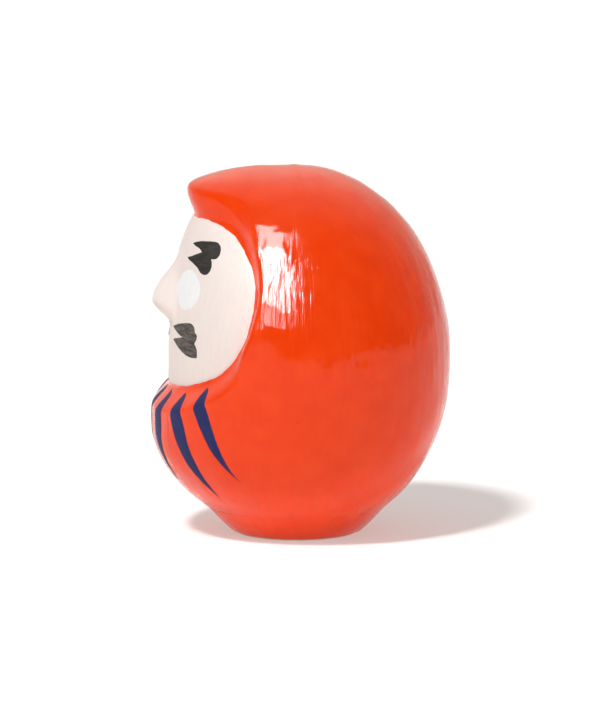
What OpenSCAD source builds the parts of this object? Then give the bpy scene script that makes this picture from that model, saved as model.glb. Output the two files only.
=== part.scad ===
// Papier-mache daruma: a hollow paper shell in two halves on a weighted, papered base,
// with a hooded face and painted features. Millimetres, +Z up, face towards -Y, mirror
// plane at x = 0. The origin is the centre of the flat underside.

/* [Shell] */
// Height of the doll, from the underside to the crown
body_h = 130; // [115:1:160]
// Radius of the back half at its widest ring, which is also the half width
back_r = 54; // [48:0.5:65]
// Reach of the belly in front of the seam
belly_r = 50.9; // [46:0.1:61]
// Height of the widest ring
waist_z = 63; // [54:1:70]
// Height at which the belly reaches furthest forward
belly_z = 38; // [32:1:46]
// Thickness of the paper shell
wall = 2.4; // [1.6:0.1:3.2]
// How far forward the hood's top edge stays in side view, 2 is an ellipse
hood_square = 3.7; // [3:0.1:5]
// How late the front's profile turns back above the belly, 2 is an ellipse
hood_bend = 3.6; // [2:0.1:4.5]
// How square the front half is in plan near the crown, 2 is an ellipse
plan_square = 2.2; // [2:0.1:3]
// How far the hood's brow stands out beyond the plain curve
brow_swell = 2.8; // [0:0.1:3.5]
// Width of the paper strips glued across the seam inside
strip_w = 14; // [8:1:20]
// Thickness of those strips
strip_t = 0.5; // [0.3:0.1:1]

/* [Face] */
// Height of the face's centre
face_z = 86.1; // [84:0.1:88]
// Half width of the flesh-coloured face, measured round the body
face_half_girth = 54.6; // [50:0.1:58]
// Height of the face above its centre, on the mirror plane
face_rise = 29.9; // [28:0.1:31]
// Height of the face below its centre
face_drop = 32.1; // [29:0.1:34]
// How far the hood's edge dips in a peak over the nose
peak_dip = 5.7; // [0:0.1:8]
// Half width of that peak
peak_w = 20; // [12:0.5:25]
// How square the face's outline is above its centre, 2 is an ellipse
face_square_top = 1.8; // [1.6:0.1:2.6]
// How square the face's outline is below its centre
face_square_low = 2.56; // [2:0.02:3.2]
// Depth of the face below the body's curve
face_depth = 6.2; // [3:0.1:8]
// Width of the rounded rim over the face
rim_w = 6; // [4:0.5:8]
// Width of the rim at the cheeks
rim_side_w = 4; // [3:0.5:7]
// Width of the rim at the bottom of the face
rim_low_w = 10; // [5:0.5:12]
// Height of the nose's top
nose_top = 102.5; // [99:0.5:106]
// Height of the nose's tip
nose_tip = 83.6; // [80:0.1:87]
// Height of the nose's underside
nose_foot = 74.6; // [72:0.1:77]
// How far the nose stands out of the face
nose_out = 7.3; // [3:0.1:9]
// Half width of the nose
nose_half_w = 9; // [7:0.5:11]
// Thickness of the pasted nose at its feathered edge
nose_edge = 0.2; // [0.1:0.05:0.4]
// Thickness of the flesh-coloured ground coat
coat_t = 0.3; // [0.2:0.05:0.5]

/* [Painted marks] */
// Thickness of a brush mark
paint_t = 0.25; // [0.15:0.05:0.4]
// Distance of each eye's centre from the mirror plane
eye_x = 15; // [14:0.1:16]
// Height of the eyes' centres
eye_z = 89; // [88:0.1:90]
// Half width of an eye
eye_half_w = 8.1; // [6:0.1:9]
// Half height of an eye
eye_half_h = 7.1; // [5.5:0.1:7.4]

/* [Base] */
// Height of the joint between the shell and the base cup
joint_z = 9.5; // [8:0.5:12]
// Radius of the shell's lower edge
joint_r = 31.2; // [29:0.1:35]
// Step by which the cup stands back under the shell
ledge = 0.3; // [0.1:0.1:1.4]
// Thickness of the cup
cup_wall = 2.6; // [2:0.1:3.4]
// Radius of the flat underside
foot_r = 22.3; // [19:0.1:25]
// How round the cup's side is, 1 is a straight cone
cup_bend = 1.1; // [1:0.1:2]
// Thickness of the paper disc on the underside
disc_t = 0.4; // [0.3:0.1:0.8]
// How far the disc's edge stays inside the flat underside
disc_gap = 1; // [0.5:0.1:2]
// How far the clay weight reaches above the joint
weight_rise = 4; // [2:0.5:8]
// Gap between the clay weight and the shell's lower edge
weight_gap = 0.6; // [0.4:0.1:1.5]

/* [Hidden] */

paint_orange = [0.91, 0.25, 0.07];
paint_flesh = [0.96, 0.90, 0.87];
paint_white = [0.95, 0.95, 0.94];
paint_black = [0.18, 0.16, 0.15];
paint_navy = [0.14, 0.17, 0.38];
bare_paper = [0.80, 0.74, 0.62];
clay = [0.62, 0.55, 0.47];

left = 1;    // the doll's own left side, at +X
right = -1;

// Mesh of the shell: rings below and above the waist, and columns from seam to seam
low_rings = 16;
high_rings = 22;
columns = 60;
rings = low_rings + high_rings;
middle = columns / 2;
half_turn = 180;
quarter_turn = 90;
far = 2 * body_h;
turned_facets = 120;

// Step of the differences that give the surface's direction, and the least share in a quotient
normal_step = 0.01;
tiny = 0.001;

// ---------- profiles ----------

// Exponent p of a superellipse with s^p + k^p = 1, found by halving the interval
function fullness(s, k, lo = 1, hi = 8, tries = 30) =
    tries == 0 ? (lo + hi) / 2
    : let (mid = (lo + hi) / 2)
      pow(s, mid) + pow(k, mid) > 1 ? fullness(s, k, mid, hi, tries - 1) : fullness(s, k, lo, mid, tries - 1);

// Below its widest height each profile is a superellipse through the shell's lower edge
back_p = fullness(1 - joint_z / waist_z, joint_r / back_r);
belly_p = fullness(1 - joint_z / belly_z, joint_r / belly_r);

// Radius of the back half and half width of the front half
function back_radius(z) =
    z > waist_z ? back_r * sqrt(max(0, 1 - pow((z - waist_z) / (body_h - waist_z), 2)))
    : back_r * pow(1 - pow((waist_z - z) / waist_z, back_p), 1 / back_p);

// Reach of the front half, from the seam to the mirror plane's profile
function front_reach(z) =
    let (over = (z - belly_z) / (body_h - belly_z), under = (belly_z - z) / belly_z)
    belly_r * (over > 0 ? pow(max(0, 1 - pow(over, hood_bend)), 1 / hood_square)
                        : pow(1 - pow(under, belly_p), 1 / belly_p));

// Squareness of the front half's rings, from a plain ellipse at the belly to the crown
function ring_square(z) = 2 + (plan_square - 2) * smooth((z - belly_z) / (body_h - belly_z));

// Heights of the rings, from the shell's lower edge to just under the crown
function ring_z(i) =
    i <= low_rings ? joint_z + (waist_z - joint_z) * i / low_rings
    : waist_z + (body_h - waist_z) * sin(quarter_turn * (i - low_rings) / (high_rings + 1));

// Angle of a column, from -90 at the right seam through 0 in front to 90 at the left seam
function column_angle(j) = half_turn * j / columns - quarter_turn;

function smooth(t) = let (c = max(0, min(1, t))) c * c * (3 - 2 * c);

// ---------- the plain body ----------

// The body is where this is 1. The front half has its own reach and squareness.
function shell_field(x, y, z, front) =
    let (square = front ? ring_square(z) : 2, reach = front ? front_reach(z) : back_radius(z))
    pow(abs(x) / back_radius(z), square) + pow(abs(y) / reach, square);

// A point of the plain body at a height, and at an angle round the axis from the front
function body_point(z, t) =
    let (front = abs(t) <= quarter_turn,
         radius = pow(shell_field(sin(t), cos(t), z, front), -1 / (front ? ring_square(z) : 2)))
    [radius * sin(t), -radius * cos(t), z];

// The outward direction there
function body_normal(p, front) =
    let (e = normal_step,
         n = [shell_field(p.x + e, p.y, p.z, front) - shell_field(p.x - e, p.y, p.z, front),
              shell_field(p.x, p.y + e, p.z, front) - shell_field(p.x, p.y - e, p.z, front),
              shell_field(p.x, p.y, p.z + e, front) - shell_field(p.x, p.y, p.z - e, front)])
    n / norm(n);

// ---------- the moulded relief ----------

// Length round the body between the mirror plane and an angle
function mean_radius(z) = (back_radius(z) + front_reach(z)) / 2;
function girth_to(z, t) = abs(t) / half_turn * PI * mean_radius(z);

// Height of the face's outline above its centre, less at the peak
function face_top(girth) = face_rise + peak_dip * (1 - exp(-pow(girth / peak_w, 2)));

// Distance along the surface from the face's outline, negative inside it
function face_edge(z, t) =
    let (girth = girth_to(z, t),
         rise = z - face_z,
         square = rise > 0 ? face_square_top : face_square_low,
         half = rise > 0 ? face_top(girth) : face_drop,
         share = pow(pow(girth / face_half_girth, square) + pow(abs(rise) / half, square), 1 / square))
    norm([girth, rise]) * (1 - 1 / max(share, tiny));

// Width of the rim, which goes from the cheeks' width to the chin's over some height
chin_start = 12;
chin_blend = 14;
cheek_gain = 1.2;
function rim_width(z, t) =
    let (round_face = rim_w + (rim_low_w - rim_w) * smooth((face_z - z) / face_drop),
         cheek = smooth(cheek_gain * pow(girth_to(z, t) / face_half_girth, 2))
                 * (1 - smooth((face_z - chin_start - z) / chin_blend)))
    round_face + (rim_side_w - round_face) * cheek;

// The hood's brow: its middle below the crown, its half height and half width, and the reach
// over which it dies away to the seam
brow_drop = 7.9;
brow_len = 4.5;
brow_width = 16;
brow_reach = 20;
function brow_rise(p) =
    brow_swell * exp(-pow((p.z - body_h + brow_drop) / brow_len, 2)) * exp(-pow(p.x / brow_width, 2))
    * smooth(-p.y / brow_reach);

// How deep the surface lies under the plain body, negative where the brow stands proud
function face_sink(p, t) =
    face_depth * (1 - smooth(face_edge(p.z, t) / rim_width(p.z, t))) - brow_rise(p);

// Height of the nose above the face
function nose_rise(p) =
    nose_out * (p.z > nose_tip ? 1 - smooth((p.z - nose_tip) / (nose_top - nose_tip))
                               : 1 - smooth((nose_tip - p.z) / (nose_tip - nose_foot)))
    * pow(max(0, 1 - pow(p.x / nose_half_w, 2)), 2);

// ---------- the mesh of the shell ----------

// A point of the moulded surface, offset outwards. Inside the wall the lowest ring runs level,
// so that the shell stands flat on the cup.
function shell_point(i, t, out) =
    let (front = abs(t) <= quarter_turn,
         p = body_point(ring_z(i), t),
         n = body_normal(p, front),
         level = norm([n.x, n.y]))
    i == 0 ? p + [n.x, n.y, 0] * out / (level * level)
    : p + n * (out - (front ? face_sink(p, t) : 0));

function ring_under(z) = max(concat([0], [for (i = [0:rings]) if (ring_z(i) < z) i]));
function ring_over(z) = min(concat([rings], [for (i = [0:rings]) if (ring_z(i) > z) i]));
function column_under(t) = floor((t + quarter_turn) / half_turn * columns);
function column_over(t) = ceil((t + quarter_turn) / half_turn * columns);

// The nose is a patch of the mesh, from these rings to those and between these columns
nose_first = ring_under(nose_foot);
nose_last = ring_over(nose_top);
nose_side = column_over(asin(nose_half_w / front_reach(nose_tip))) - middle;
function nose_lift(i, j) =
    i < nose_first || i > nose_last || abs(j - middle) > nose_side ? 0
    : nose_edge + nose_rise(body_point(ring_z(i), column_angle(j)));

// Points of the front surface over rings i0 to i1 and columns j0 to j1. The ring after the
// last one is the crown.
function front_grid(i0, i1, j0, j1, out, with_nose) =
    [for (i = [i0:i1], j = [j0:j1])
        i > rings ? [0, 0, body_h + out]
        : shell_point(i, column_angle(j), out + (with_nose ? nose_lift(i, j) : 0))];

// Two triangles of one cell, split the one way or the other. The diagonals mirror about the
// middle column, so that skins on the same mesh lie flat on each other.
function cell(a, b, c, d, on_right) = on_right ? [[a, b, c], [a, c, d]] : [[a, b, d], [b, c, d]];

// A closed solid between two sheets of points with the same rows and columns
module slab(outer, inner, rows, cols, first_col) {
    total = rows * cols;
    function at(i, j) = i * cols + j;
    outside = [for (i = [0:rows - 2], j = [0:cols - 2])
        each cell(at(i, j), at(i + 1, j), at(i + 1, j + 1), at(i, j + 1), first_col + j < middle)];
    inside = [for (f = outside) [f[2] + total, f[1] + total, f[0] + total]];
    edge = concat([for (j = [0:cols - 2]) [at(0, j), at(0, j + 1)]],
                  [for (i = [0:rows - 2]) [at(i, cols - 1), at(i + 1, cols - 1)]],
                  [for (j = [cols - 1:-1:1]) [at(rows - 1, j), at(rows - 1, j - 1)]],
                  [for (i = [rows - 1:-1:1]) [at(i, 0), at(i - 1, 0)]]);
    rim = [for (e = edge) each [[e[0], e[1], e[1] + total], [e[0], e[1] + total, e[0] + total]]];
    polyhedron(concat(outer, inner), concat(outside, inside, rim), convexity = 6);
}

// A closed skin over part of the front surface, between two offsets. Either of its faces can
// run over the nose.
module front_skin(i0, i1, j0, j1, inner, outer, inner_nose, outer_nose) {
    slab(front_grid(i0, i1, j0, j1, outer, outer_nose), front_grid(i0, i1, j0, j1, inner, inner_nose),
         i1 - i0 + 1, j1 - j0 + 1, j0);
}

// ---------- outlines of the painted marks, in front view ----------

curve_steps = 8;

// Points of a cubic curve, without its last point
function curve(a, b, c, d) =
    [for (k = [0:curve_steps - 1])
        let (t = k / curve_steps, s = 1 - t)
        a * pow(s, 3) + b * 3 * s * s * t + c * 3 * s * t * t + d * pow(t, 3)];

// Each pair of neighbouring corners is joined by a curve with the two handles between them
function outline(p) =
    [for (k = [0:3:len(p) - 1]) each curve(p[k], p[k + 1], p[k + 2], p[(k + 3) % len(p)])];

// Two lobes with their points towards the nose: upper point, top, outer notch, lower point, inner notch
brow_shape = outline([
    [10.9, 104.9], [13.9, 106.5], [18.2, 106.8],
    [21.4, 106.9], [23.7, 107], [28, 100.7],
    [23.4, 101.2], [27.4, 96.6], [23.4, 93.6],
    [19.7, 97.1], [16.8, 98.6], [13.7, 98.7],
    [9.8, 99.9], [12.6, 100.5], [14.9, 101.4],
    [18.2, 102.9], [16, 104.4], [13.7, 104.1]]);
moustache_shape = outline([
    [4.8, 74.6], [9.2, 76.2], [14.6, 77.4],
    [19.6, 78], [22.3, 77.9], [22.8, 76.8],
    [23.2, 75.1], [24.8, 74.6], [24.6, 72.8],
    [23, 71.2], [24.5, 70.2], [24.8, 68.7],
    [24.7, 66.4], [20.2, 65.2], [14.8, 66.9],
    [5.9, 70.3], [8.8, 71], [12, 71.7],
    [15.5, 72.4], [12.1, 72.5], [9, 73.7]]);

// A beard stroke runs from its point under the face down its inner edge to the tail, and back
// up its outer edge
strokes = [
    [[4.8, 52.5], [4.6, 48.2], [4.2, 42.8], [5, 38.3], [5.8, 33.4], [7.3, 26.8],
     [7.3, 20.4], [9.8, 25.4], [11.1, 32.1], [11.7, 37.7], [12.6, 45.2], [10.2, 50.6]],
    [[18.8, 53.3], [17.9, 50.5], [19.2, 43.8], [20.6, 40], [23.3, 32.8], [24.6, 24.6],
     [25.2, 16.6], [27.2, 22.4], [28.2, 29], [27.7, 34.2], [27.1, 41.5], [26, 51.8]],
    [[30.6, 56.9], [29.6, 54.6], [32, 47], [33.7, 42.2], [35.7, 36.5], [37.4, 27.2],
     [37.5, 23.8], [37.8, 27.9], [38.7, 33.9], [38.3, 37.1], [37.5, 43.7], [37.8, 55.6]]];

// The face's outline, seen from the front on the sunk surface
face_steps = 72;
face_shape = [for (k = [0:face_steps - 1])
    let (turn = 2 * half_turn * k / face_steps,
         power = 2 / (sin(turn) > 0 ? face_square_top : face_square_low),
         girth = face_half_girth * pow(abs(cos(turn)), power),
         half = sin(turn) > 0 ? face_top(girth) : face_drop,
         z = face_z + half * sign(sin(turn)) * pow(abs(sin(turn)), power),
         t = sign(cos(turn)) * girth / mean_radius(z) / PI * half_turn,
         p = body_point(z, t),
         sunk = p - face_depth * body_normal(p, true))
    [sunk.x, sunk.z]];

// A mark: the part of a thin skin over the front that lies behind a flat outline. It is
// drawn on the left side, and mirrored for the right.
module mark(side, shape, inner, thickness, with_nose) {
    xs = [for (p = shape) p.x];
    zs = [for (p = shape) p.y];
    i0 = ring_under(min(zs) - face_depth);
    i1 = ring_over(max(zs) + face_depth);
    narrow = min(back_radius(ring_z(i0)), back_radius(ring_z(i1)));
    t1 = asin(min(1, (max(xs) + face_depth) / narrow));
    t0 = min(xs) < 0 ? -t1 : 0;
    scale([side, 1, 1])
        intersection() {
            front_skin(i0, i1, column_under(t0), column_over(t1),
                       inner, inner + thickness, with_nose, with_nose);
            rotate([90, 0, 0])
                linear_extrude(far)
                    polygon(shape);
        }
}

// ---------- pieces ----------

// Front half of the paper shell, with the hood's rim and the hollow for the face
module front_shell() {
    color(paint_orange)
        front_skin(0, rings + 1, 0, columns, -wall, 0, false, false);
}

// Back half of the paper shell, a half turn of one profile
module back_shell() {
    outer = [for (i = [0:rings]) let (p = shell_point(i, half_turn, 0)) [p.y, p.z]];
    inner = [for (i = [rings:-1:0]) let (p = shell_point(i, half_turn, -wall)) [p.y, p.z]];
    color(paint_orange)
        rotate_extrude(angle = half_turn, $fn = turned_facets)
            polygon(concat(outer, [[0, body_h], [0, body_h - wall]], inner));
}

// Paper strip glued inside along one seam, half on each shell. On the front half its columns
// are those of the shell's mesh. It ends a few rings short of the crown.
module seam_strip(side) {
    first = 1;
    rings_short = 3;
    last = rings - rings_short;
    step = half_turn / columns;
    whole = ceil(strip_w / 2 / (back_r - wall) / PI * columns);
    angles = [for (k = [-whole:whole]) quarter_turn + k * step];
    outer = [for (i = [first:last], t = angles) shell_point(i, t, -wall)];
    inner = [for (i = [first:last], t = angles) shell_point(i, t, -wall - strip_t)];
    color(bare_paper)
        scale([side, 1, 1])
            slab(outer, inner, last - first + 1, len(angles), columns);
}

// Rounded profile from a flat floor up to the joint's height
cup_steps = 12;
function cup_profile(floor_z, floor_r, top_r) =
    [for (k = [0:cup_steps])
        let (s = 1 - k / cup_steps)
        [floor_r + (top_r - floor_r) * pow(1 - pow(s, cup_bend), 1 / cup_bend),
         joint_z - (joint_z - floor_z) * s]];

cup_r = joint_r - ledge;
cup_inner_r = cup_r - cup_wall;
floor_top = disc_t + cup_wall;

// Radius of the shell's inner lower edge where it comes nearest the axis, in front or behind
function edge_level(t) =
    let (n = body_normal(body_point(joint_z, t), abs(t) <= quarter_turn))
    norm([n.x, n.y]);
shell_edge_r = joint_r - wall / min(edge_level(0), edge_level(half_turn));

// Papered cup that closes the shell's bottom
module base_cup() {
    outer = cup_profile(disc_t, foot_r, cup_r);
    inner = cup_profile(floor_top, foot_r - cup_wall, cup_inner_r);
    color(paint_orange)
        rotate_extrude($fn = turned_facets)
            polygon(concat([[0, disc_t]], outer,
                           [for (k = [cup_steps:-1:0]) inner[k]], [[0, floor_top]]));
}

// Clay weight that fills the cup and stands a little into the shell
module base_weight() {
    inner = cup_profile(floor_top, foot_r - cup_wall, cup_inner_r);
    top_r = min(cup_inner_r, shell_edge_r) - weight_gap;
    top_z = joint_z + weight_rise;
    color(clay)
        rotate_extrude($fn = turned_facets)
            polygon(concat([[0, floor_top]], inner,
                           [[top_r, joint_z], [top_r, top_z - weight_rise / 2], [top_r - weight_rise / 2, top_z],
                            [0, top_z]]));
}

// Paper disc on the underside, which the doll rests on
module base_paper() {
    color(bare_paper)
        cylinder(r = foot_r - disc_gap, h = disc_t, $fn = turned_facets);
}

// Pressed-paper nose, pasted on the front shell's face
module nose() {
    color(paint_flesh)
        front_skin(nose_first, nose_last, middle - nose_side, middle + nose_side, 0, 0, false, true);
}

// Flesh-coloured ground coat in the face's hollow and over the nose
module face_coat() {
    color(paint_flesh)
        mark(left, face_shape, 0, coat_t, true);
}

// Blank white eye
module eye(side) {
    turn_step = 12;
    color(paint_white)
        mark(side, [for (t = [turn_step:turn_step:2 * half_turn])
                        [eye_x + eye_half_w * cos(t), eye_z + eye_half_h * sin(t)]],
             coat_t, paint_t, true);
}

// Brow of two brushed lobes
module brow(side) {
    color(paint_black)
        mark(side, brow_shape, coat_t, paint_t, true);
}

// Half of the moustache, of two brushed lobes
module moustache(side) {
    color(paint_black)
        mark(side, moustache_shape, coat_t, paint_t, true);
}

// Beard stroke k, counted from the mirror plane
module beard_stripe(side, k) {
    color(paint_navy)
        mark(side, outline(strokes[k]), 0, paint_t, false);
}

front_shell();
back_shell();
seam_strip(left);  // seam_strip_left
seam_strip(right);  // seam_strip_right
base_cup();
base_weight();
base_paper();
nose();
face_coat();
eye(left);  // eye_left
eye(right);  // eye_right
brow(left);  // brow_left
brow(right);  // brow_right
moustache(left);  // moustache_left
moustache(right);  // moustache_right
beard_stripe(right, 2);  // beard_stripe_1
beard_stripe(right, 1);  // beard_stripe_2
beard_stripe(right, 0);  // beard_stripe_3
beard_stripe(left, 0);  // beard_stripe_4
beard_stripe(left, 1);  // beard_stripe_5
beard_stripe(left, 2);  // beard_stripe_6
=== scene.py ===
"""Looks of the papier-mache daruma doll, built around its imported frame. Lengths are in mm
in the shape functions and in metres in Blender. The doll looks along -Y and +Z is up."""
import math

import bpy
import numpy as np
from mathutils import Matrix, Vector
from mathutils.bvhtree import BVHTree
from mathutils.geometry import delaunay_2d_cdt


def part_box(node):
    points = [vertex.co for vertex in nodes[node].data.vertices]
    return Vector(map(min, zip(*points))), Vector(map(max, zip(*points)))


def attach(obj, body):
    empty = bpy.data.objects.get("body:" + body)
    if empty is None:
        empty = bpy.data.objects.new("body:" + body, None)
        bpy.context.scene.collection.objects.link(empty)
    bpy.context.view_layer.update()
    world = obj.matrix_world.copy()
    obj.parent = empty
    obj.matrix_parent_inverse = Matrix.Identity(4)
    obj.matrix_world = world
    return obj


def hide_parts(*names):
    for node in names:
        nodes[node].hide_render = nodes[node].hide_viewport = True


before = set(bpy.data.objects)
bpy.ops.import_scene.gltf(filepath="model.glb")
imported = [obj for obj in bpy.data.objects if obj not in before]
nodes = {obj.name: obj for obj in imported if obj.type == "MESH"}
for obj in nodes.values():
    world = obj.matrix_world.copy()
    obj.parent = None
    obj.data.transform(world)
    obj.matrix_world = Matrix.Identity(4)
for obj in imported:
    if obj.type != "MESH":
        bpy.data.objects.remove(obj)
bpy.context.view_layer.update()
MM = 0.001
rng = np.random.default_rng(23)


def box_mm(node):
    """The lowest and highest corners of a CAD node, in mm."""
    low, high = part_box(node)
    return np.array(low) / MM, np.array(high) / MM


# ---------- sizes ----------
front_low, front_high = box_mm("front_shell")
_, back_high = box_mm("back_shell")
_, cup_high = box_mm("base_cup")
_, paper_high = box_mm("base_paper")
body_h = front_high[2]
joint_z = front_low[2]
back_r = back_high[0]
belly_r = 50.9
waist_z = 63.0
belly_z = 38.0
wall = 2.4
joint_r = 31.2
hood_square = 3.7
hood_bend = 3.6
plan_square = 2.2
face_z = 86.1
face_half_girth = 54.6
face_rise = 29.9
face_drop = 32.1
peak_dip = 5.7
peak_w = 20.0
face_square_top = 1.8
face_square_low = 2.56
face_depth = 6.2
rim_w = 6.0
rim_side_w = 4.0
rim_low_w = 10.0
brow_z = body_h - 7.9
brow_swell, brow_len, brow_width, brow_reach = 2.8, 4.5, 16.0, 20.0
nose_top, nose_tip, nose_foot = 102.5, 83.6, 74.6
nose_out, nose_half_w = 7.3, 9.0
nose_turn_max = 0.7
coat_t = 0.3
coat_edge_t, coat_edge_w = 0.04, 0.8
paint_t = 0.16
paint_edge_t, paint_edge_w = 0.03, 0.45
chin_start, chin_blend, cheek_gain = 12, 14, 1.2
cup_r = cup_high[0]
foot_r = 22.3
disc_t = paper_high[2]
joint_fillet, joint_reach = 0.62, 1.1
mid_r = 50.0


# ---------- the moulded surface ----------
def smooth(x):
    """Eased step from 0 to 1."""
    x = np.clip(x, 0, 1)
    return x * x * (3 - 2 * x)


def fullness(s, k):
    """Exponent p of a superellipse with s^p + k^p = 1."""
    low, high = 1.0, 8.0
    for _ in range(40):
        mid = (low + high) / 2
        if s ** mid + k ** mid > 1:
            low = mid
        else:
            high = mid
    return (low + high) / 2


back_p = fullness(1 - joint_z / waist_z, joint_r / back_r)
belly_p = fullness(1 - joint_z / belly_z, joint_r / belly_r)


def back_radius(z):
    """Radius of the round back half at height z."""
    up = np.sqrt(np.maximum(0, 1 - ((z - waist_z) / (body_h - waist_z)) ** 2))
    down = np.maximum(0, 1 - np.maximum(0, (waist_z - z) / waist_z) ** back_p) ** (1 / back_p)
    return back_r * np.where(z > waist_z, up, down)


def front_reach(z):
    """How far the front half reaches forwards at height z."""
    share = np.maximum(0, (z - belly_z) / (body_h - belly_z))
    up = np.maximum(0, 1 - share ** hood_bend) ** (1 / hood_square)
    down = np.maximum(0, 1 - np.maximum(0, (belly_z - z) / belly_z) ** belly_p) ** (1 / belly_p)
    return belly_r * np.where(z > belly_z, up, down)


def mean_radius(z):
    return (back_radius(z) + front_reach(z)) / 2


def ring_square(z):
    """Exponent of the front half's plan: 2 is round, and it grows squarer towards the hood."""
    return 2 + (plan_square - 2) * smooth((z - belly_z) / (body_h - belly_z))


def shell_field(x, y, z, front):
    """1 on the plain body at height z, less inside it and more outside."""
    a = np.maximum(back_radius(z), 1e-6)
    b = np.where(front, np.maximum(front_reach(z), 1e-6), a)
    m = np.where(front, ring_square(z), 2.0)
    return (np.abs(x) / a) ** m + (np.abs(y) / b) ** m


def body_point(z, t):
    """Point of the plain body at height z and at angle t (radians) round the axis from the front."""
    front = np.cos(t) >= 0
    power = np.where(front, ring_square(z), 2.0)
    r = shell_field(np.sin(t), np.cos(t), z, front) ** (-1 / power)
    return np.stack([r * np.sin(t), -r * np.cos(t), z + 0 * t], -1), front


def body_normal(p, front, e=0.01):
    """Unit normal of the plain body, from differences over the step e."""
    x, y, z = p[..., 0], p[..., 1], p[..., 2]
    n = np.stack([shell_field(x + e, y, z, front) - shell_field(x - e, y, z, front),
                  shell_field(x, y + e, z, front) - shell_field(x, y - e, z, front),
                  shell_field(x, y, z + e, front) - shell_field(x, y, z - e, front)], -1)
    return n / np.linalg.norm(n, axis=-1, keepdims=True)


def face_top(girth):
    """Height of the face's outline above its centre, dipping in a peak on the mirror plane."""
    return face_rise + peak_dip * (1 - np.exp(-(girth / peak_w) ** 2))


def face_edge(z, t):
    """Distance along the surface from the face's outline, negative inside it."""
    girth = np.abs(t) * mean_radius(z)
    rise = z - face_z
    q = np.where(rise > 0, face_square_top, face_square_low)
    half = np.where(rise > 0, face_top(girth), face_drop)
    share = ((girth / face_half_girth) ** q + (np.abs(rise) / half) ** q) ** (1 / q)
    return np.hypot(girth, rise) * (1 - 1 / np.maximum(share, 0.001))


def face_sink(p, t):
    """Depth of the face's hollow below the plain body, less the swell of the hood's brow."""
    z = p[..., 2]
    rim = rim_w + (rim_low_w - rim_w) * smooth((face_z - z) / face_drop)
    side = smooth((np.abs(t) * mean_radius(z) / face_half_girth) ** 2 * cheek_gain)
    side = side * (1 - smooth((face_z - chin_start - z) / chin_blend))
    rim = rim + (rim_side_w - rim) * side
    swell = brow_swell * np.exp(-((z - brow_z) / brow_len) ** 2) * np.exp(-(p[..., 0] / brow_width) ** 2)
    return face_depth * (1 - smooth(face_edge(z, t) / rim)) - swell * smooth(-p[..., 1] / brow_reach)


def nose_rise(x, z):
    """Height of the nose above the sunk face."""
    up = 1 - smooth((z - nose_tip) / (nose_top - nose_tip))
    down = 1 - smooth((nose_tip - z) / (nose_tip - nose_foot))
    return nose_out * np.where(z > nose_tip, up, down) * np.maximum(0, 1 - (x / nose_half_w) ** 2) ** 2


# ---------- hand-made unevenness: seeded plane waves over the surface ----------
def waves(count, shortest, longest, height):
    """Wave vectors, phases and heights of plane waves between two wavelengths."""
    k = rng.normal(size=(count, 3))
    k /= np.linalg.norm(k, axis=1, keepdims=True)
    length = np.exp(rng.uniform(math.log(shortest), math.log(longest), count))
    share = height * math.sqrt(2 / count) * rng.uniform(0.6, 1.3, count)
    return k * (2 * math.pi / length)[:, None], rng.uniform(0, 2 * math.pi, count), share


broad = waves(count=14, shortest=22, longest=50, height=0.07)
lumps = waves(count=26, shortest=8, longest=16, height=0.035)
crumple = waves(count=40, shortest=2.6, longest=5.5, height=0.016)
seam_rise, seam_w, seam_start, seam_blend = 0.22, 1.3, 112, 14
calm_height, calm_share = 12, 0.35
crumple_least, patch_scale, patch_gain = 0.4, 0.6, 18


def wave_sum(p, w):
    k, phase, share = w
    out = np.zeros(p.shape[:-1])
    for kk, ph, sh in zip(k, phase, share):
        out += sh * np.sin(p @ kk + ph)
    return out


def dents(p):
    """Height of the unevenness: calmer near the cup, crumpled in patches, with a low seam over the crown."""
    z = p[..., 2]
    seam = seam_rise * np.exp(-(p[..., 1] / seam_w) ** 2) * smooth((z - seam_start) / seam_blend)
    fade = smooth((z - joint_z) / calm_height)
    patches = smooth(wave_sum(p * patch_scale, lumps) * patch_gain + 0.5)
    return (wave_sum(p, broad) * (calm_share + (1 - calm_share) * fade) + wave_sum(p, lumps)
            + wave_sum(p, crumple) * (crumple_least + (1 - crumple_least) * patches) + seam)


def joint_fill(z):
    """Paper smoothed over the corner between the shell and the cup."""
    return joint_fillet * np.log1p(np.exp(-np.abs(z - joint_z) / joint_reach))


def surface(z, t, out=0.0, nose=False):
    """Point of the finished surface, pushed out along the body's normal."""
    p, front = body_point(z, t)
    p = p + joint_fill(z)[..., None] * np.stack([np.sin(t), -np.cos(t), 0 * t], -1)
    n = body_normal(p, front)
    lift = dents(p) + out
    lift = lift - np.where(front, face_sink(p, t), 0)
    if nose:
        lift = lift + np.where(np.abs(t) < nose_turn_max, nose_rise(p[..., 0], p[..., 2]), 0)
    return p + n * np.expand_dims(lift, -1)


# ---------- mesh helpers ----------
def brush_uv(mm):
    """Brush coordinates from lengths in mm, in units of 100 mm."""
    return mm * MM * 10


def new_mesh(name, verts, faces, uv):
    """A smooth-shaded piece from points in mm, with brush coordinates for each point."""
    mesh = bpy.data.meshes.new(name)
    mesh.from_pydata([tuple(v) for v in (np.asarray(verts) * MM)], [], faces)
    mesh.validate()
    mesh.polygons.foreach_set("use_smooth", np.ones(len(mesh.polygons), bool))
    layer = mesh.uv_layers.new(name="brush")
    idx = np.zeros(len(mesh.loops), np.int32)
    mesh.loops.foreach_get("vertex_index", idx)
    layer.data.foreach_set("uv", uv[idx].astype(np.float32).ravel())
    piece = bpy.data.objects.new(name, mesh)
    bpy.context.scene.collection.objects.link(piece)
    return piece


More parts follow.
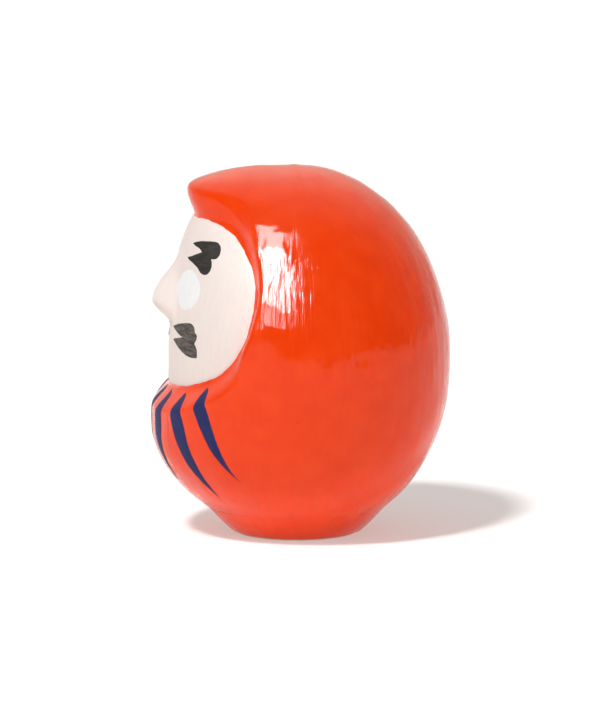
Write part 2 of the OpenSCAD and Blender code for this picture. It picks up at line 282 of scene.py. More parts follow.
def grid_faces(rows, cols, start=0, flip=False, wrap=False):
    """Quads of a grid of points, closed round when wrap is set."""
    out = []
    for i in range(rows - 1):
        for j in range(cols if wrap else cols - 1):
            k = (j + 1) % cols
            a, b = start + i * cols + j, start + i * cols + k
            c, d = start + (i + 1) * cols + k, start + (i + 1) * cols + j
            out.append((a, d, c, b) if flip else (a, b, c, d))
    return out


def split_sharp(piece, angle=math.radians(40)):
    """Keeps the corner of an edge crisp where faces meet at more than the angle."""
    piece.data.set_sharp_from_angle(angle=angle)


# ---------- the shells ----------
def ring_heights(count):
    """Heights at equal steps along the mean of the front and back profiles."""
    w = 1 - np.linspace(0, 1, 6000)[::-1] ** 5
    low = np.linspace(joint_z, waist_z, 800)[:-1]
    z = np.concatenate([low, waist_z + (body_h - waist_z) * w])
    front, back = front_reach(z), back_radius(z)
    step = (np.hypot(np.diff(z), np.diff(front)) + np.hypot(np.diff(z), np.diff(back))) / 2
    along = np.concatenate([[0], np.cumsum(step)])
    rows = np.interp(np.linspace(0, along[-1], count + 1), along, z)[:-1]
    return rows, along[-1]


ROWS, COLS = 262, 262
INNER_STEP = 4
crown_wall = wall + 0.3
heights, profile_len = ring_heights(ROWS)
along_v = np.linspace(0, profile_len, ROWS + 1)[:-1]


def bridge(outer, inner, flip):
    """Faces between a fine line and one with every INNER_STEP-th point."""
    out = []
    last = len(inner) - 1
    for k in range(last):
        a = k * INNER_STEP
        b = min(a + INNER_STEP, len(outer) - 1) if k < last - 1 else len(outer) - 1
        face = outer[a:b + 1] + [inner[k + 1], inner[k]]
        out.append(tuple(face if flip else face[::-1]))
    return out


def shell_half(name, t0, t1, cad_node):
    """One half of the paper shell: its outer face, its inner face and the rims between them."""
    t = np.linspace(t0, t1, COLS + 1)
    zz, tt = np.meshgrid(heights, t, indexing="ij")
    outer = surface(zz, tt)
    crown = np.array([[0, 0, body_h + dents(np.array([0.0, 0.0, body_h]))]])
    rows_in = np.arange(0, ROWS, INNER_STEP)
    cols_in = np.linspace(t0, t1, COLS // INNER_STEP + 1)
    zi, ti = np.meshgrid(heights[rows_in], cols_in, indexing="ij")
    pi, fi = body_point(zi, ti)
    ni = body_normal(pi, fi)
    inner = pi - ni * (wall + np.where(fi, face_sink(pi, ti), 0))[..., None]
    inner[0, :, 2] = joint_z
    level = np.linalg.norm(ni[0, :, :2], axis=-1, keepdims=True)
    inner[0, :, :2] = pi[0, :, :2] - ni[0, :, :2] / level * wall / level
    no, ci = COLS + 1, len(cols_in)
    verts = np.concatenate([outer.reshape(-1, 3), crown, inner.reshape(-1, 3), crown - [[0, 0, crown_wall]]])
    faces = grid_faces(ROWS, no)
    top = ROWS * no
    last = (ROWS - 1) * no
    faces += [(last + j, last + j + 1, top) for j in range(no - 1)]
    base = top + 1
    faces += grid_faces(len(rows_in), ci, base, flip=True)
    top_in = base + len(rows_in) * ci
    last_in = base + (len(rows_in) - 1) * ci
    faces += [(last_in + j + 1, last_in + j, top_in) for j in range(ci - 1)]
    # rims: the bottom ring, then both edges at the seam
    faces += bridge(list(range(no)), [base + j for j in range(ci)], False)
    for col, col_in, flip in ((0, 0, True), (no - 1, ci - 1, False)):
        out_line = [i * no + col for i in range(ROWS)] + [top]
        in_line = [base + i * ci + col_in for i in range(len(rows_in))] + [top_in]
        faces += bridge(out_line, in_line, flip)
    uv = np.zeros((len(verts), 2))
    girth = tt * mid_r
    uv[:top] = np.stack([girth, np.broadcast_to(along_v[:, None], girth.shape)], -1).reshape(-1, 2)
    uv[top] = (0, profile_len)
    piece = new_mesh(name, verts, faces, brush_uv(uv))
    split_sharp(piece)
    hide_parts(cad_node)
    return piece


front = shell_half("front_shell_paint", -math.pi / 2, math.pi / 2, "front_shell")
back = shell_half("back_shell_paint", math.pi / 2, 3 * math.pi / 2, "back_shell")

# a tree for rays onto the front's outer face, for marks that lie on it
front_tree = BVHTree.FromPolygons([tuple(v.co / MM) for v in front.data.vertices],
                                  [tuple(p.vertices) for p in front.data.polygons])


# ---------- base cup ----------
cup_mid_r = 30


def turned(name, profile, columns, wobble, node):
    """A closed solid turned from a profile of (radius, height) points, starting and ending on the axis."""
    pts = np.array(profile)
    t = np.linspace(0, 2 * math.pi, columns, endpoint=False)
    rows = len(pts) - 2
    ring = pts[1:-1]
    xyz = np.stack([ring[:, :1] * np.sin(t), -ring[:, :1] * np.cos(t),
                    np.broadcast_to(ring[:, 1:], (rows, columns))], -1)
    out = np.stack([np.sin(t), -np.cos(t), 0 * t], -1)
    xyz = xyz + out * (wobble(xyz) * (ring[:, :1] > 1))[..., None]
    verts = np.concatenate([xyz.reshape(-1, 3), [[0, 0, pts[0, 1]]], [[0, 0, pts[-1, 1]]]])
    faces = grid_faces(rows, columns, wrap=True)
    first, last = rows * columns, rows * columns + 1
    faces += [(first, (j + 1) % columns, j) for j in range(columns)]
    end = (rows - 1) * columns
    faces += [(end + j, end + (j + 1) % columns, last) for j in range(columns)]
    run = np.concatenate([[0], np.cumsum(np.linalg.norm(np.diff(ring, axis=0), axis=1))])
    uv = np.zeros((len(verts), 2))
    uv[:rows * columns] = np.stack([np.broadcast_to(t * cup_mid_r, (rows, columns)),
                                    np.broadcast_to(run[:, None], (rows, columns))], -1).reshape(-1, 2)
    piece = new_mesh(name, verts, faces, brush_uv(uv))
    split_sharp(piece)
    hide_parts(node)
    return piece


cup_bend, cup_wall = 1.1, 2.6


def cup_line(floor_z, floor_r, top_r, count):
    """The cup's bowed side, from its floor up to the joint."""
    s = np.linspace(1, 0, count)
    r = floor_r + (top_r - floor_r) * (1 - s ** cup_bend) ** (1 / cup_bend)
    return [(a, b) for a, b in zip(r, joint_z - (joint_z - floor_z) * s)]


# the floor with its rounded edge, then up the outside and down the inside
foot_line = [(0, disc_t), (foot_r * 0.5, disc_t), (foot_r - 1.2, disc_t + 0.02), (foot_r - 0.4, disc_t + 0.1)]
outer_line = cup_line(disc_t, foot_r, joint_r, 40)[2:]
cup_floor = disc_t + cup_wall
inner_line = cup_line(cup_floor, foot_r - cup_wall, cup_r - cup_wall, 14)[::-1] + [(0, cup_floor)]
cup = turned("base_cup_paint", foot_line + outer_line + inner_line, 240,
             lambda p: wave_sum(p, lumps) + calm_share * wave_sum(p, broad) + joint_fill(p[..., 2]), "base_cup")
disc_r = paper_high[0]
disc_line = [(0, 0), (8, 0), (disc_r - 0.5, 0), (disc_r - 0.12, 0.05), (disc_r, disc_t / 2),
             (disc_r - 0.08, disc_t - 0.03), (disc_r - 0.4, disc_t), (8, disc_t), (0, disc_t)]
paper = turned("base_paper_disc", disc_line, 200,
               lambda p: 0.25 * wave_sum(p, lumps), "base_paper")


# ---------- flat patches filled with an even mesh ----------
row_gap = 0.866


def filled(outline, step):
    """Points and triangles of an outline filled with a regular grid of inner points."""
    pts = np.array(outline)
    low, high = pts.min(0), pts.max(0)
    xs = np.arange(low[0] + step / 2, high[0], step)
    ys = np.arange(low[1] + step / 2, high[1], step * row_gap)
    gx, gy = np.meshgrid(xs, ys)
    gx[1::2] += step / 2
    g = np.stack([gx.ravel(), gy.ravel()], -1)
    d, inside = edge_distance(g, pts)
    g = g[inside & (d > step * 0.45)]
    allp = np.concatenate([pts, g])
    n = len(pts)
    out = delaunay_2d_cdt([Vector(p) for p in allp], [(k, (k + 1) % n) for k in range(n)], [], 1, 1e-6)
    return np.array([tuple(v) for v in out[0]]), [tuple(f) for f in out[2]]


def edge_distance(p, loop):
    """Distance of each point from a closed line, and whether it is inside it."""
    d = np.full(len(p), 1e9)
    inside = np.zeros(len(p), bool)
    nxt = np.roll(loop, -1, 0)
    for a, b in zip(loop, nxt):
        ab = b - a
        s = np.clip(((p - a) @ ab) / max(ab @ ab, 1e-12), 0, 1)
        d = np.minimum(d, np.linalg.norm(p - a - s[:, None] * ab, axis=1))
        cross = (a[1] > p[:, 1]) != (b[1] > p[:, 1])
        with np.errstate(divide="ignore", invalid="ignore"):
            at = (b[0] - a[0]) * (p[:, 1] - a[1]) / (b[1] - a[1] if b[1] != a[1] else 1e-12) + a[0]
        inside ^= cross & (p[:, 0] < at)
    return d, inside


def solid_sheet(name, low, high, tris, uv, attrs=None):
    """A closed thin solid between two sheets with the same triangles."""
    n = len(low)
    edges = {}
    for f in tris:
        for k in range(len(f)):
            e = (f[k], f[(k + 1) % len(f)])
            edges[e] = edges.get(e, 0) + 1
    rim = [e for e in edges if (e[1], e[0]) not in edges]
    faces = [tuple(f) for f in tris] + [tuple(n + i for i in reversed(f)) for f in tris]
    faces += [(b, a, n + a, n + b) for a, b in rim]
    piece = new_mesh(name, np.concatenate([high, low]), faces,
                     brush_uv(np.concatenate([uv, uv])))
    for key, values in (attrs or {}).items():
        layer = piece.data.attributes.new(key, "FLOAT", "POINT")
        layer.data.foreach_set("value", np.concatenate([values, values]).astype(np.float32))
    return piece


# ---------- face coat and nose ----------
def face_outline(count):
    """The painted face's edge in (girth, height), a superellipse with a hand-brushed waver."""
    turn = np.linspace(0, 2 * math.pi, count, endpoint=False)
    power = np.where(np.sin(turn) > 0, 2 / face_square_top, 2 / face_square_low)
    g = face_half_girth * np.sign(np.cos(turn)) * np.abs(np.cos(turn)) ** power
    half = np.where(np.sin(turn) > 0, face_top(np.abs(g)), face_drop)
    h = half * np.sign(np.sin(turn)) * np.abs(np.sin(turn)) ** power
    # evenly spaced points
    loop = np.stack([g, face_z + h], -1)
    closed = np.concatenate([loop, loop[:1]])
    run = np.concatenate([[0], np.cumsum(np.linalg.norm(np.diff(closed, axis=0), axis=1))])
    s = np.linspace(0, run[-1], count, endpoint=False)
    loop = np.stack([np.interp(s, run, closed[:, 0]), np.interp(s, run, closed[:, 1])], -1)
    away = np.roll(loop, -1, 0) - np.roll(loop, 1, 0)
    away = np.stack([away[:, 1], -away[:, 0]], -1)
    away /= np.linalg.norm(away, axis=1, keepdims=True)
    heights_mm, counts = [0.25, 0.2, 0.12, 0.07, 0.04], [3, 7, 13, 29, 61]
    waver = sum(a * np.sin(2 * math.pi * s / run[-1] * k + ph)
                for a, k, ph in zip(heights_mm, counts, rng.uniform(0, 6.28, len(counts))))
    return loop + away * waver[:, None]


coat_points, coat_step = 620, 0.62
coat_loop = face_outline(coat_points)
coat_flat, coat_tris = filled(coat_loop, coat_step)
coat_d, _ = edge_distance(coat_flat, coat_loop)
ct = coat_flat[:, 0] / mean_radius(coat_flat[:, 1])
coat_rise = coat_edge_t + (coat_t - coat_edge_t) * np.sqrt(smooth(coat_d / coat_edge_w))
coat = solid_sheet("face_coat_paint", surface(coat_flat[:, 1], ct, 0.01, nose=True),
                   surface(coat_flat[:, 1], ct, coat_rise, nose=True), coat_tris, coat_flat)
split_sharp(coat, math.radians(60))
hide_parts("face_coat")

NOSE_ROWS, NOSE_COLS = 60, 49
nose_margin, nose_spread = 1, 1.04
nose_turn = math.asin(nose_half_w / front_reach(nose_tip))
zn, tn = np.meshgrid(np.linspace(nose_foot - nose_margin, nose_top + nose_margin, NOSE_ROWS),
                     np.linspace(-1, 1, NOSE_COLS) * nose_turn * nose_spread, indexing="ij")
# the paper wedge lies just under the face's coat
nose_low = surface(zn, tn, -0.25)
nose_high = surface(zn, tn, -0.2, nose=True)
nose_piece = solid_sheet("nose_paper", nose_low.reshape(-1, 3), nose_high.reshape(-1, 3),
                         grid_faces(NOSE_ROWS, NOSE_COLS), np.stack([tn * mid_r, zn], -1).reshape(-1, 2))
split_sharp(nose_piece)
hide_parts("nose")

coat_tree = BVHTree.FromPolygons([tuple(v.co / MM) for v in coat.data.vertices],
                                 [tuple(p.vertices) for p in coat.data.polygons])


# ---------- painted marks ----------
ragged_h, paint_sink = 0.035, 0.02


def outline(corners, steps=14):
    """Joins corners by cubic curves, with two handles between neighbours."""
    pts = [np.array(c, float) for c in corners]
    out = []
    for k in range(0, len(pts), 3):
        a, b, c, d = pts[k], pts[k + 1], pts[k + 2], pts[(k + 3) % len(pts)]
        for j in range(steps):
            t = j / steps
            s = 1 - t
            out.append(a * s ** 3 + b * 3 * s * s * t + c * 3 * s * t * t + d * t ** 3)
    return np.array(out)


def even(loop, step):
    """A closed line with its points about a step apart."""
    closed = np.concatenate([loop, loop[:1]])
    run = np.concatenate([[0], np.cumsum(np.linalg.norm(np.diff(closed, axis=0), axis=1))])
    s = np.linspace(0, run[-1], int(run[-1] / step), endpoint=False)
    return np.stack([np.interp(s, run, closed[:, 0]), np.interp(s, run, closed[:, 1])], -1)


def ragged(loop, height):
    """A brush's slightly uneven edge."""
    away = np.roll(loop, -1, 0) - np.roll(loop, 1, 0)
    away = np.stack([away[:, 1], -away[:, 0]], -1)
    away /= np.linalg.norm(away, axis=1, keepdims=True)
    u = np.arange(len(loop)) / len(loop) * 2 * math.pi
    wave = sum(rng.normal() * np.sin(k * u + rng.uniform(0, 6.28)) / math.sqrt(n)
               for n, k in enumerate((5, 9, 14, 23, 37, 55), start=1))
    return loop + away * (wave * height)[:, None]


def drop_on(tree, x, z):
    """Where a line along +Y from the front meets the surface, and its normal there."""
    hits, norms = [], []
    for a, b in zip(x, z):
        hit, n, _, _ = tree.ray_cast(Vector((a, -90.0, b)), Vector((0, 1, 0)))
        hits.append(tuple(hit))
        norms.append(tuple(n))
    return np.array(hits), np.array(norms)


def mark(name, loop, side, tree, node, step=0.45, attrs=None):
    """A brush mark: a thin closed skin with a rounded edge, on the surface behind its outline."""
    loop = even(loop, step * 0.7)
    loop = ragged(loop, ragged_h)
    flat, tris = filled(loop, step)
    d, _ = edge_distance(flat, loop)
    hits, norms = drop_on(tree, flat[:, 0] * side, flat[:, 1])
    rise = paint_edge_t + (paint_t - paint_edge_t) * np.sqrt(smooth(d / paint_edge_w))
    extra = attrs(flat, d) if attrs else {}
    uv = flat * [side, 1]
    tris = tris if side > 0 else [tuple(reversed(f)) for f in tris]
    piece = solid_sheet(name, hits - norms * paint_sink, hits + norms * rise[:, None], tris, uv, extra)
    split_sharp(piece, math.radians(60))
    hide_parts(node)
    return piece


brow_shape = outline([
    [10.9, 104.9], [13.9, 106.5], [18.2, 106.8],
    [21.4, 106.9], [23.7, 107], [28, 100.7],
    [23.4, 101.2], [27.4, 96.6], [23.4, 93.6],
    [19.7, 97.1], [16.8, 98.6], [13.7, 98.7],
    [9.8, 99.9], [12.6, 100.5], [14.9, 101.4],
    [18.2, 102.9], [16, 104.4], [13.7, 104.1]])
moustache_shape = outline([
    [4.8, 74.6], [9.2, 76.2], [14.6, 77.4],
    [19.6, 78], [22.3, 77.9], [22.8, 76.8],
    [23.2, 75.1], [24.8, 74.6], [24.6, 72.8],
    [23, 71.2], [24.5, 70.2], [24.8, 68.7],
    [24.7, 66.4], [20.2, 65.2], [14.8, 66.9],
    [5.9, 70.3], [8.8, 71], [12, 71.7],
    [15.5, 72.4], [12.1, 72.5], [9, 73.7]])
# each stroke from its point under the face, down its inner edge to the tail, and back up its
# outer edge
strokes = [
    [[4.8, 52.5], [4.6, 48.2], [4.2, 42.8], [5, 38.3], [5.8, 33.4], [7.3, 26.8],
     [7.3, 20.4], [9.8, 25.4], [11.1, 32.1], [11.7, 37.7], [12.6, 45.2], [10.2, 50.6]],
    [[18.8, 53.3], [17.9, 50.5], [19.2, 43.8], [20.6, 40], [23.3, 32.8], [24.6, 24.6],
     [25.2, 16.6], [27.2, 22.4], [28.2, 29], [27.7, 34.2], [27.1, 41.5], [26, 51.8]],
    [[30.6, 56.9], [29.6, 54.6], [32, 47], [33.7, 42.2], [35.7, 36.5], [37.4, 27.2],
     [37.5, 23.8], [37.8, 27.9], [38.7, 33.9], [38.3, 37.1], [37.5, 43.7], [37.8, 55.6]]]


def eye_loop(node):
    """An ellipse as wide and as high as the eye's CAD node."""
    low, high = box_mm(node)
    centre = (low + high) / 2
    half = (high - low) / 2
    t = np.linspace(0, 2 * math.pi, 160, endpoint=False)
    return np.stack([abs(centre[0]) + half[0] * np.cos(t), centre[2] + half[2] * np.sin(t)], -1)


def stroke_thin(k):
    """Where stroke k's paint is thin: at its tail and along its edges."""
    head, tail = strokes[k][0][1], strokes[k][6][1]

    def attrs(flat, d):
        share = (flat[:, 1] - tail) / (head - tail)
        return {"thin": 1 - smooth(share / 0.16) * smooth(d / 0.28 + 0.35)}
    return attrs


marks = {"eye": [], "brow": [], "moustache": [], "beard": []}
for side, word in ((1, "left"), (-1, "right")):
    shapes = (("eye", eye_loop(f"eye_{word}")), ("brow", brow_shape), ("moustache", moustache_shape))
    for kind, loop in shapes:
        marks[kind].append(mark(f"{kind}_{word}_paint", loop, side, coat_tree, f"{kind}_{word}"))
    for k in range(len(strokes)):
        number = 4 + k if side > 0 else 3 - k
        marks["beard"].append(mark(f"beard_stroke_{number}", outline(strokes[k], 40), side, front_tree,
                                   f"beard_stripe_{number}", step=0.4, attrs=stroke_thin(k)))


# ---------- materials ----------
def srgb(*c):
    """A linear colour from 0 to 255 display values."""
    c = np.array(c) / 255
    return tuple(np.where(c <= 0.04045, c / 12.92, ((c + 0.055) / 1.055) ** 2.4)) + (1.0,)


class Mat:
    """A small helper that keeps node building short."""

    def __init__(self, name):
        self.mat = bpy.data.materials.new(name)
        self.mat.use_nodes = True
        self.tree = self.mat.node_tree
        self.nodes, self.links = self.tree.nodes, self.tree.links
        self.shader = self.nodes["Principled BSDF"]

    def add(self, kind, **values):
        node = self.nodes.new(kind)
        for key, value in values.items():
            setattr(node, key, value)
        return node

    def link(self, a, b):
        self.links.new(a, b)

    def coords(self, scale, layer=None, rotate=(0, 0, 0)):
        mapping = self.add("ShaderNodeMapping")
        mapping.inputs["Scale"].default_value = scale
        mapping.inputs["Rotation"].default_value = rotate
        if layer:
            source = self.add("ShaderNodeUVMap", uv_map=layer).outputs["UV"]
        else:
            source = self.add("ShaderNodeTexCoord").outputs["Object"]
        self.link(source, mapping.inputs["Vector"])
        return mapping.outputs["Vector"]

    def noise(self, vector, scale=1.0, detail=3.0, rough=0.5, distort=0.0):
        node = self.add("ShaderNodeTexNoise")
        node.inputs["Scale"].default_value = scale
        node.inputs["Detail"].default_value = detail
        node.inputs["Roughness"].default_value = rough
        node.inputs["Distortion"].default_value = distort
        self.link(vector, node.inputs["Vector"])
        return node.outputs["Fac"]

    def span(self, value, a, b, c, d):
        node = self.add("ShaderNodeMapRange", interpolation_type="SMOOTHSTEP")
        for key, v in (("From Min", a), ("From Max", b), ("To Min", c), ("To Max", d)):
            node.inputs[key].default_value = v
        self.link(value, node.inputs["Value"])
        return node.outputs["Result"]

    def math(self, op, a, b=None):
        node = self.add("ShaderNodeMath", operation=op)
        for k, v in enumerate((a, b)):
            if v is None:
                continue
            if isinstance(v, (int, float)):
                node.inputs[k].default_value = v
            else:
                self.link(v, node.inputs[k])
        return node.outputs["Value"]

    def mix(self, factor, a, b):
        node = self.add("ShaderNodeMix", data_type="RGBA")
        self.link(factor, node.inputs["Factor"])
        for key, v in (("A", a), ("B", b)):
            socket = [s for s in node.inputs if s.name == key and s.type == "RGBA"][0]
            if isinstance(v, tuple):
                socket.default_value = v
            else:
                self.link(v, socket)
        return [s for s in node.outputs if s.type == "RGBA"][0]

    def bump(self, height, distance, strength=1.0, normal=None):
        node = self.add("ShaderNodeBump")
        node.inputs["Strength"].default_value = strength
        node.inputs["Distance"].default_value = distance
        self.link(height, node.inputs["Height"])
        if normal is not None:
            self.link(normal, node.inputs["Normal"])
        return node.outputs["Normal"]

    def set(self, **values):
        for key, v in values.items():
            socket = self.shader.inputs[key.replace("_", " ")]
            if isinstance(v, (int, float, tuple)):
                socket.default_value = v
            else:
                self.link(v, socket)


def specks(m, vector, scale, size, share):
    """Sparse small pimples: the middles of some cells."""
    cells = m.add("ShaderNodeTexVoronoi", feature="F1", distance="EUCLIDEAN")
    cells.inputs["Scale"].default_value = scale
    m.link(vector, cells.inputs["Vector"])
    dot = m.span(cells.outputs["Distance"], 0.0, size, 1.0, 0.0)
    split = m.add("ShaderNodeSeparateColor")
    m.link(cells.outputs["Color"], split.inputs["Color"])
    pick = m.math("LESS_THAN", split.outputs[0], share)
    return m.math("MULTIPLY", dot, pick)


def varnished_orange(name, tone_a, tone_b):
    """Glossy orange varnish over brushed and crumpled paper."""
    m = Mat(name)
    # the brush coordinates are in units of 100 mm, so a scale of 100 makes cells of 1 mm
    ridges = m.noise(m.coords((90, 7, 1), "brush"), detail=2.5, rough=0.55, distort=0.35)
    fine = m.noise(m.coords((240, 24, 1), "brush", (0, 0, 0.12)), detail=2)
    wide = m.noise(m.coords((26, 4, 1), "brush"), detail=2)
    object_mm = m.coords((1000, 1000, 1000))
    patch = m.noise(object_mm, 0.045, 2)
    cloud = m.noise(object_mm, 0.12, 3)
    pimple = specks(m, object_mm, scale=0.14, size=0.055, share=0.5)
    height = m.add("ShaderNodeSeparateXYZ")
    m.link(object_mm, height.inputs["Vector"])
    crown_fade = m.span(height.outputs["Z"], 98.0, 120.0, 1.0, 0.06)
    strength = m.math("MULTIPLY", m.span(patch, 0.42, 0.62, 0.35, 1.0), crown_fade)
    relief = m.math("ADD", m.math("MULTIPLY", ridges, 0.6), m.math("MULTIPLY", fine, 0.16))
    relief = m.math("MULTIPLY", relief, strength)
    normal = m.bump(m.math("MULTIPLY", wide, crown_fade), 0.0003)
    normal = m.bump(relief, 0.0004, normal=normal)
    normal = m.bump(pimple, 0.0005, normal=normal)
    tone = m.mix(m.span(cloud, 0.3, 0.7, 0, 1), tone_a, tone_b)
    m.set(Base_Color=tone, Roughness=m.span(ridges, 0.3, 0.7, 0.42, 0.52), Specular_IOR_Level=0.0,
          Coat_Weight=1.0, Coat_Roughness=m.span(cloud, 0.35, 0.65, 0.05, 0.11), Coat_IOR=1.30)
    m.link(normal, m.shader.inputs["Normal"])
    m.link(normal, m.shader.inputs["Coat Normal"])
    return m.mat


def brushed(name, dark, light, rough, scale, coat=0.0, thin=None, relief=0.00004, spec=0.3, turn=0.0):
    """Paint laid on with a brush: streaks along the stroke in colour, sheen and relief."""
    m = Mat(name)
    streak = m.noise(m.coords(scale, "brush", (0, 0, turn)), detail=3, rough=0.6)
    grain = m.noise(m.coords((1000, 1000, 1000)), 1.6, 3)
    mixed = m.math("ADD", m.math("MULTIPLY", streak, 0.8), m.math("MULTIPLY", grain, 0.2))
    blend = m.span(mixed, 0.35, 0.65, 0, 1)
    colour = m.mix(blend, dark, light)
    if thin:
        through = m.add("ShaderNodeAttribute", attribute_name="thin").outputs["Fac"]
        patchy = m.math("MULTIPLY", through, m.span(streak, 0.3, 0.6, 0.55, 1.0))
        colour = m.mix(patchy, colour, thin)
    m.set(Base_Color=colour, Roughness=m.span(streak, 0.3, 0.7, rough - 0.06, rough + 0.06),
          Specular_IOR_Level=spec, Coat_Weight=coat, Coat_Roughness=0.12, Coat_IOR=1.42)
    m.link(m.bump(m.math("ADD", streak, m.math("MULTIPLY", grain, 0.4)), relief), m.shader.inputs["Normal"])
    return m.mat


def papery(name, dark, light, relief, fibre=0.9):
    """Unpainted long-fibre paper or clay: mottled, matte, with a fibrous grain."""
    m = Mat(name)
    object_mm = m.coords((1000, 1000, 1000))
    mottle = m.noise(object_mm, 0.25, 4)
    strands = m.noise(m.coords((1000, 300, 1000), None, (0.4, 0.2, 0.9)), fibre, 4, 0.7, 1.5)
    colour = m.mix(m.span(m.math("ADD", m.math("MULTIPLY", mottle, 0.5), m.math("MULTIPLY", strands, 0.5)),
                          0.35, 0.65, 0, 1), dark, light)
    m.set(Base_Color=colour, Roughness=m.span(mottle, 0.3, 0.7, 0.78, 0.92), Specular_IOR_Level=0.2)
    m.link(m.bump(strands, relief), m.shader.inputs["Normal"])
    return m.mat


orange = varnished_orange("orange_varnish", srgb(236, 62, 12), srgb(240, 67, 15))
orange_low = varnished_orange("orange_varnish_base", srgb(237, 62, 14), srgb(240, 67, 17))
flesh = brushed("flesh_ground", srgb(229, 216, 209), srgb(232, 219, 212), 0.62, (60, 9, 1),
                relief=0.00001)
white = brushed("white_eye_paint", srgb(232, 232, 231), srgb(236, 236, 235), 0.6, (60, 12, 1),
                relief=0.00002)
black = brushed("black_brow_ink", srgb(30, 26, 23), srgb(50, 45, 40), 0.7, (24, 90, 1),
                spec=0.12, turn=0.5)
grey_black = brushed("moustache_ink", srgb(62, 57, 54), srgb(106, 98, 93), 0.7, (20, 100, 1),
                     spec=0.12)
navy = brushed("navy_stroke_paint", srgb(24, 32, 86), srgb(34, 42, 97), 0.55, (110, 9, 1),
               coat=0.05, spec=0.12, thin=srgb(120, 40, 40))
washi = papery("bare_washi", srgb(206, 193, 164), srgb(224, 213, 188), 0.00006)
clay = papery("dry_clay", srgb(150, 132, 112), srgb(172, 153, 131), 0.00015, 0.5)

finish = {front: (orange, "orange_shell"), back: (orange, "orange_shell"), cup: (orange_low, "orange_base"),
          paper: (washi, "bare_paper"), coat: (flesh, "flesh_paint"), nose_piece: (flesh, "flesh_paint")}
for key, mat, slot in (("eye", white, "white_paint"), ("brow", black, "black_paint"),
                       ("moustache", grey_black, "moustache_paint"), ("beard", navy, "navy_paint")):
    finish.update({piece: (mat, slot) for piece in marks[key]})
for piece, (mat, slot) in finish.items():
    piece.data.materials.append(mat)
    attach(piece, "root")

stand_in = {"front_shell": orange, "back_shell": orange, "base_cup": orange_low, "base_weight": clay,
            "nose": flesh, "face_coat": flesh, "eye": white, "brow": black, "moustache": grey_black,
            "beard": navy, "seam": washi, "base_paper": washi}
for name, obj in nodes.items():
    mat = next(stand_in[key] for key in stand_in if name.startswith(key))
    obj.data.materials.clear()
    obj.data.materials.append(mat)

# ---------- floor, light and camera ----------
floor_mesh = bpy.data.meshes.new("studio_floor")
reach, floor_gap = 6.0, 0.00005
floor_mesh.from_pydata([(-reach, -reach, 0), (reach, -reach, 0), (reach, reach, 0), (-reach, reach, 0)], [],
                       [(0, 1, 2, 3)])
floor = bpy.data.objects.new("studio_floor", floor_mesh)
bpy.context.scene.collection.objects.link(floor)
floor.location.z = -floor_gap
pale = Mat("pale_floor")
pale.set(Base_Color=(0.5, 0.5, 0.5, 1), Roughness=0.9, Specular_IOR_Level=0.0,
         Emission_Color=(1, 0.95, 0.90, 1), Emission_Strength=0.41)
floor_mesh.materials.append(pale.mat)

azimuth, elevation = math.radians(82), math.radians(9.5)
to_camera = Vector((math.sin(azimuth) * math.cos(elevation), -math.cos(azimuth) * math.cos(elevation),
                    math.sin(elevation)))
right = Vector((math.cos(azimuth), math.sin(azimuth), 0))
up = to_camera.cross(right)
distance = 8.0
frame_height = 0.25344
aim_right, aim_up = 0.0012, 0.05991
camera_data = bpy.data.cameras.new("camera")
camera_data.lens = camera_data.sensor_width * distance / frame_height
camera = bpy.data.objects.new("camera", camera_data)
bpy.context.scene.collection.objects.link(camera)
camera.location = right * aim_right + up * aim_up + to_camera * distance
camera.rotation_mode = "QUATERNION"
camera.rotation_quaternion = (-to_camera).to_track_quat("-Z", "Y")
bpy.context.scene.camera = camera


lamp_aim = Vector((0, 0, 0.08))
sun_azimuth, sun_elevation, sun_angle, sun_distance = 50, 56, 0.15, 4.0


def lamp(name, kind, azimuth_deg, elevation_deg, power, distance_m):
    """A lamp pointed at lamp_aim. Azimuth 0 is in front of the face, 90 on the doll's left."""
    a, e = math.radians(azimuth_deg), math.radians(elevation_deg)
    way = Vector((math.sin(a) * math.cos(e), -math.cos(a) * math.cos(e), math.sin(e)))
    data = bpy.data.lights.new(name, kind)
    data.energy = power
    light = bpy.data.objects.new(name, data)
    light.location = lamp_aim + way * distance_m
    light.rotation_mode = "QUATERNION"
    light.rotation_quaternion = (-way).to_track_quat("-Z", "Y")
    bpy.context.scene.collection.objects.link(light)
    return light


def sun(name, strength):
    """A soft sun that isn't mirrored in the varnish."""
    light = lamp(name, "SUN", sun_azimuth, sun_elevation, strength, sun_distance)
    light.data.angle = sun_angle
    light.visible_glossy = False
    return light


sun("key_sun", 1.9)
# the white floor is lit past white, so that the doll's red glow shows on it only in the shade
wash = sun("floor_wash", 2.1)
only_floor = bpy.data.collections.new("floor_light")
only_floor.objects.link(floor)
wash.light_linking.receiver_collection = only_floor

# tall lamps, one above another, that are only mirrored
strip_azimuth, lamp_w, lamp_distance = 64, 0.36, 1.2
strips = (("strip", 41, 0.76, 90), ("strip_top", 64, 0.40, 14), ("strip_foot", 16, 0.20, 5))
for name, lamp_elevation, tall, watts in strips:
    strip = lamp(name, "AREA", strip_azimuth, lamp_elevation, watts, lamp_distance)
    strip.data.shape = "RECTANGLE"
    strip.data.size = lamp_w
    strip.data.size_y = tall
    strip.visible_diffuse = False

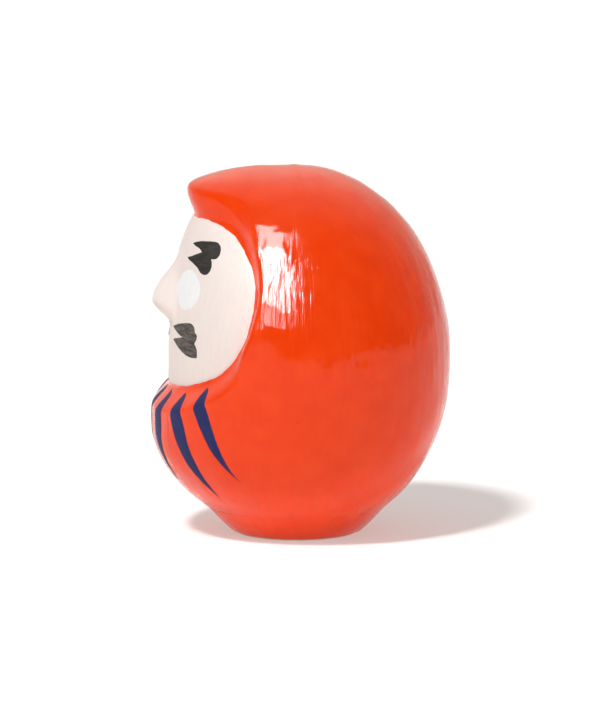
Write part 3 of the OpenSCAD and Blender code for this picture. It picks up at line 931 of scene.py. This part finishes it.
world = bpy.data.worlds.new("studio")
bpy.context.scene.world = world
world.use_nodes = True
wn, wl = world.node_tree.nodes, world.node_tree.links
wn.clear()


def background(strength, colour=(1, 1, 1, 1)):
    node = wn.new("ShaderNodeBackground")
    node.inputs["Color"].default_value = colour
    if isinstance(strength, float):
        node.inputs["Strength"].default_value = strength
    else:
        wl.new(strength, node.inputs["Strength"])
    return node.outputs["Background"]


def blend_by(ray, a, b):
    """Shader b for that kind of ray, and a for the others."""
    node = wn.new("ShaderNodeMixShader")
    wl.new(path.outputs[ray], node.inputs["Fac"])
    wl.new(a, node.inputs[1])
    wl.new(b, node.inputs[2])
    return node.outputs["Shader"]


def side_ramp(way, start, end, low, high):
    """Brightness by how far a direction points along way."""
    dot = wn.new("ShaderNodeVectorMath")
    dot.operation = "DOT_PRODUCT"
    dot.inputs[1].default_value = way
    wl.new(coord.outputs["Generated"], dot.inputs[0])
    ramp = wn.new("ShaderNodeMapRange")
    ramp.interpolation_type = "SMOOTHSTEP"
    for key, v in (("From Min", start), ("From Max", end), ("To Min", low), ("To Max", high)):
        ramp.inputs[key].default_value = v
    wl.new(dot.outputs["Value"], ramp.inputs["Value"])
    return ramp.outputs["Result"]


path = wn.new("ShaderNodeLightPath")
coord = wn.new("ShaderNodeTexCoord")
backdrop = (-math.sin(azimuth), math.cos(azimuth), 0.2)
lit = background(side_ramp((0.0, 0.0, 1.0), -0.2, 1.0, 0.27, 0.47))
over = (-0.55 * math.sin(azimuth), 0.55 * math.cos(azimuth), 0.83)
panels = wn.new("ShaderNodeMath")
panels.operation = "ADD"
wl.new(side_ramp(backdrop, -0.3, 0.8, 0.015, 0.8), panels.inputs[0])
wl.new(side_ramp(over, 0.66, 0.99, 0.0, 0.95), panels.inputs[1])
mirrored = background(panels.outputs["Value"], (1.0, 0.92, 0.82, 1))
shown = background(1.1)
final = blend_by("Is Camera Ray", blend_by("Is Glossy Ray", lit, mirrored), shown)
wl.new(final, wn.new("ShaderNodeOutputWorld").inputs["Surface"])
bpy.context.scene.view_settings.view_transform = "Standard"
